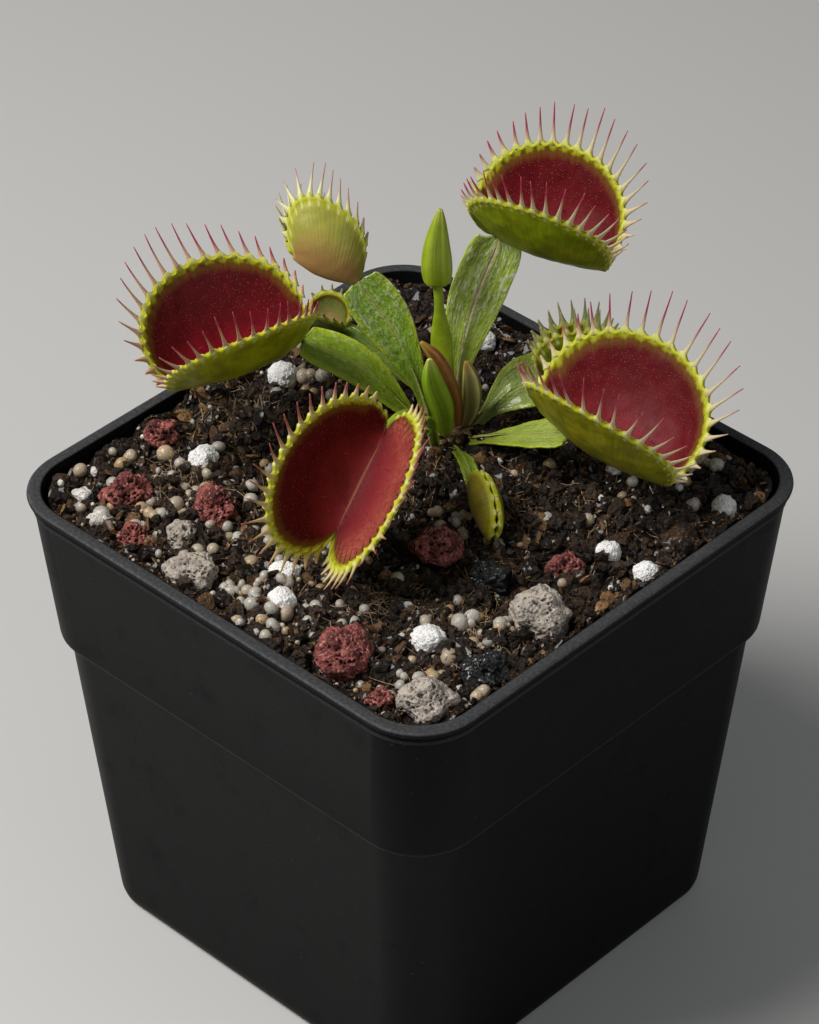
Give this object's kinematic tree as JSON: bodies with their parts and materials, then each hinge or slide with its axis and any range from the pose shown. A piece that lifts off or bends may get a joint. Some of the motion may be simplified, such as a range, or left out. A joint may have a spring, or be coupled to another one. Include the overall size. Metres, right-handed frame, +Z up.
{
  "type": "potted venus flytrap",
  "caption": "Venus flytrap with open red-lined traps and winged leaf stalks, growing in gritty soil in a square plastic nursery pot.",
  "frame": {"origin": "middle of the pot's flat underside", "axes": "+Z up; +X and +Y square to two neighbouring sides of the pot. The side view with the open traps looks along the diagonal from the corner between +X and -Y."},
  "size_m": [0.0908, 0.09, 0.1337],
  "materials": {
    "pot_plastic": "fine matte black",
    "soil": "damp, rough, fibrous",
    "rhizome": "dull brown",
    "leaf_green": "satin, slightly waxy",
    "leaf_pale": "satin",
    "leaf_lime": "satin",
    "leaf_russet": "satin",
    "trap_red": "moist satin",
    "pumice": "rough, porous",
    "lava": "rough, porous",
    "perlite": "chalky",
    "charcoal": "dull black"
  },
  "bodies": {
    "root": {"pot": "pot_plastic", "soil": "soil", "rhizome": "rhizome", "leaf_left": "leaf_green", "leaf_left_red_face": "trap_red", "leaf_front": "leaf_green", "leaf_front_red_face": "trap_red", "leaf_right": "leaf_green", "leaf_right_red_face": "trap_red", "leaf_tall": "leaf_green", "leaf_tall_red_face": "trap_red", "leaf_pale": "leaf_pale", "leaf_back": "leaf_green", "leaf_far": "leaf_green", "leaf_low": "leaf_green", "bud_leaf": "leaf_lime", "young_green_leaf": "leaf_lime", "young_red_leaf": "leaf_russet", "young_striped_leaf": "leaf_russet", "pumice_1": "pumice", "pumice_2": "pumice", "pumice_3": "pumice", "pumice_4": "pumice", "lava_1": "lava", "lava_2": "lava", "lava_3": "lava", "lava_4": "lava", "lava_5": "lava", "lava_6": "lava", "lava_7": "lava", "lava_8": "lava", "perlite_1": "perlite", "perlite_2": "perlite", "perlite_3": "perlite", "perlite_4": "perlite", "perlite_5": "perlite", "perlite_6": "perlite", "perlite_7": "perlite", "perlite_8": "perlite", "perlite_9": "perlite", "charcoal_1": "charcoal", "charcoal_2": "charcoal"}
  },
  "joints": []
}
